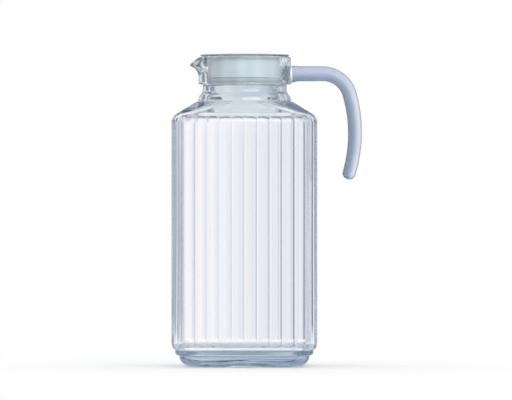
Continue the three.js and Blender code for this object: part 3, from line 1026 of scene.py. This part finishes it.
def pale_floor():
    """Matt white and clear towards its edge, so that none shows; in glass, painted shade near the jug and
    a painted shadow under it.
    """
    material = bpy.data.materials.new("pale_floor")
    tree = Tree(material)
    matt = tree.node("ShaderNodeBsdfPrincipled", sockets={
        "Base Color": FLOOR_WHITE,
        "Roughness": 0.85 + 0.1 * tree.noise(FLOOR_TOOTH),
        "Specular IOR Level": 0.0,
    })
    clear = tree.node("ShaderNodeBsdfTransparent", sockets={"Color": WHITE})
    plain = tree.blend(tree.fade(tree.distance((0, 0, 0)), FLOOR_PLAIN, FLOOR_RADIUS), matt, clear)
    # Painted shade and shadow, seen only through glass: a glowing grey near the jug, darker under it
    away = tree.distance((AXIS_X, 0, 0))
    under = tree.fade(away, BODY_HALF, FOOT_HALF - HEEL_RUN)
    tint = tree.mix(under, FLOOR_PAINTED_SHADE_IN_GLASS, FLOOR_PAINTED_SHADOW_UNDER_JUG)
    shaded = tree.node("ShaderNodeEmission", sockets={"Color": tint})
    near = tree.seen_in_glass() * tree.fade(away, FLOOR_SHADE_END, FLOOR_SHADE_FULL)
    tree.finish(tree.blend(near, plain, shaded))
    return material


def make_floor():
    """A round floor under the jug."""
    mesh = bmesh.new()
    bmesh.ops.create_circle(mesh, cap_ends=True, segments=FLOOR_STEPS, radius=FLOOR_RADIUS)
    floor = place_mesh("floor", mesh)
    floor.data.materials.append(pale_floor())


# Room: even white light; glass sees bright bands with dim ones between, and a dim ceiling
AMBIENT = 0.87
ROOM_TURN = math.radians(7.7)
ROOM_BANDS = 8
ROOM_BRIGHT = (0.985, 0.96, 1.0, 1)
ROOM_DIM = (0.14, 0.18, 0.25, 1)
ROOM_BRIGHT_FROM = -0.1
ROOM_BRIGHT_FULL = 1.1
CEILING_FROM = 0.6
CEILING_FULL = 1.0


def make_world():
    """White to the camera. Glass sees a white room with soft dim bands between its lights."""
    world = bpy.data.worlds.new("studio")
    bpy.context.scene.world = world
    tree = Tree(world)
    shown = tree.seen_in_glass()
    way = tree.node("ShaderNodeTexCoord", output="Generated")
    x, y, z = [tree.node("ShaderNodeSeparateXYZ", sockets={0: way}, output=axis) for axis in range(3)]
    turn = tree.maths("ARCTAN2", x, y)
    facing = 0.5 + 0.5 * tree.maths("COSINE", ROOM_BANDS * (turn - ROOM_TURN))
    bright = tree.fade(facing, ROOM_BRIGHT_FROM, ROOM_BRIGHT_FULL)
    bright = bright * tree.fade(z, CEILING_FULL, CEILING_FROM)
    room = tree.mix(shown, WHITE, tree.mix(bright, ROOM_DIM, ROOM_BRIGHT))
    strength = AMBIENT + (1 - AMBIENT) * tree.maths("MAXIMUM", tree.ray("Is Camera Ray"), shown)
    light = tree.node("ShaderNodeBackground", sockets={"Color": room, "Strength": strength})
    tree.node("ShaderNodeOutputWorld", sockets={"Surface": light})


# Card behind the jug: its place, its shades from left to right, and the dim band above, lower at the sides
CARD_BACK = 300 * MM
CARD_HALF = 400 * MM
CARD_TOP = 700 * MM
CARD_BRIGHT = (1.0, 0.98, 1.0, 1)
CARD_PALE = (0.85, 0.9, 0.95, 1)
CARD_LEFT_DIM = (0.22, 0.27, 0.34, 1)
CARD_SHADES = [
    (0.09, CARD_PALE),
    (0.16, CARD_LEFT_DIM),
    (0.29, CARD_LEFT_DIM),
    (0.37, CARD_BRIGHT),
    (0.455, CARD_BRIGHT),
    (0.50, (0.85, 0.86, 0.94, 1)),
    (0.56, (0.84, 0.87, 0.95, 1)),
    (0.63, (0.25, 0.3, 0.38, 1)),
    (0.69, (0.24, 0.28, 0.36, 1)),
    (0.74, CARD_PALE),
]
CARD_TOP_WHITE = (0.97, 1.0, 1.0, 1)
CARD_WHITE_FROM = 230 * MM
CARD_WHITE_FULL = 242 * MM
CARD_BRIGHT_TOP = 305 * MM
CARD_DIM_FROM = 340 * MM
CARD_DIM_TOP = 375 * MM
CARD_LAMP_FROM = 420 * MM
CARD_SIDE_DROP = 75 * MM
CARD_SIDE_FROM = 46 * MM
CARD_SIDE_FULL = 60 * MM
CARD_SIDE_END = 120 * MM
CARD_SIDE_OPEN = 150 * MM


def graded_card():
    """Paper that shows only in glass: bright behind the jug, dim strips beside it and a dim band above."""
    material = bpy.data.materials.new("graded_card")
    tree = Tree(material)
    height = tree.along(2)
    right = tree.along(0) - AXIS_X
    aside = tree.maths("ABSOLUTE", right)
    shade = tree.ramp(0.5 + right * (0.5 / CARD_HALF), CARD_SHADES)
    shade = tree.mix(tree.fade(height, CARD_WHITE_FROM, CARD_WHITE_FULL), shade, CARD_TOP_WHITE)
    low = height + CARD_SIDE_DROP * tree.fade(aside, CARD_SIDE_FROM, CARD_SIDE_FULL)
    dim = tree.fade(low, CARD_BRIGHT_TOP, CARD_DIM_FROM)
    dim = dim * tree.fade(height, CARD_LAMP_FROM, CARD_DIM_TOP)
    dim = dim * tree.fade(aside, CARD_SIDE_OPEN, CARD_SIDE_END)
    glow = tree.node("ShaderNodeEmission", sockets={"Color": tree.mix(dim, shade, ROOM_DIM)})
    clear = tree.node("ShaderNodeBsdfTransparent", sockets={"Color": WHITE})
    tree.finish(tree.blend(tree.seen_in_glass(), clear, glow))
    return material


def make_card():
    """An upright card behind the jug."""
    left = AXIS_X - CARD_HALF
    right = AXIS_X + CARD_HALF
    corners = [(left, 0), (right, 0), (right, CARD_TOP), (left, CARD_TOP)]
    mesh = bmesh.new()
    mesh.faces.new([mesh.verts.new((x, CARD_BACK, z)) for x, z in corners])
    card = place_mesh("card", mesh)
    card.data.materials.append(graded_card())


# Lamp: one broad soft light from the front, above and a little to the right
LAMP_STRENGTH = 1.15
LAMP_SPREAD = math.radians(45)
LAMP_FROM = (0.35, -1.0, 0.5)


def make_lamp():
    """A broad lamp, far away."""
    data = bpy.data.lights.new("lamp", "SUN")
    data.energy = LAMP_STRENGTH
    data.angle = LAMP_SPREAD
    lamp = bpy.data.objects.new("lamp", data)
    lamp.rotation_euler = Vector(LAMP_FROM).to_track_quat("Z", "Y").to_euler()
    bpy.context.scene.collection.objects.link(lamp)


# Camera: level with the middle of the jug, square to its face, through a long lens
VIEW_TURN = math.radians(0.1)
VIEW_DISTANCE = 4.3
VIEW_HEIGHT = 129.5 * MM
VIEW_ASIDE = 8.9 * MM
PICTURE_WIDTH = 512
SIZE_PER_PIXEL = 0.78 * MM
SENSOR = 36.0


def make_camera():
    """The camera, its lens set by the size that one pixel shows at the jug."""
    data = bpy.data.cameras.new("view")
    data.sensor_width = SENSOR
    data.lens = SENSOR * VIEW_DISTANCE / (PICTURE_WIDTH * SIZE_PER_PIXEL)
    camera = bpy.data.objects.new("view", data)
    right = Vector((math.cos(VIEW_TURN), math.sin(VIEW_TURN), 0))
    back = Vector((math.sin(VIEW_TURN), -math.cos(VIEW_TURN), 0))
    aim = Vector((AXIS_X, 0, VIEW_HEIGHT)) + right * VIEW_ASIDE
    camera.location = aim + back * VIEW_DISTANCE
    camera.rotation_euler = (-back).to_track_quat("-Z", "Y").to_euler()
    bpy.context.scene.collection.objects.link(camera)
    bpy.context.scene.camera = camera


# Light passes many walls of glass before it ends
GLASS_BOUNCES = 32


def set_view():
    """Plain colours, and enough bounces for glass behind glass."""
    scene = bpy.context.scene
    scene.view_settings.view_transform = "Standard"
    scene.cycles.max_bounces = GLASS_BOUNCES
    scene.cycles.glossy_bounces = GLASS_BOUNCES
    scene.cycles.transmission_bounces = GLASS_BOUNCES


def dress(piece, node, body, material):
    """Gives a piece its material and lets it stand for its node, on the node's body."""
    piece.data.materials.clear()
    piece.data.materials.append(material)
    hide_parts(node)
    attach(piece, body)


dress(make_jug_glass(), "jug_body", "jug", clear_glass())
dress(make_handle(), "handle", "jug", satin_glass())
dress(make_lid(), "lid", "lid", milky_plastic())
dress(make_seal(), "seal_ring", "seal", soft_silicone())
make_floor()
make_card()
make_world()
make_lamp()
make_camera()
set_view()
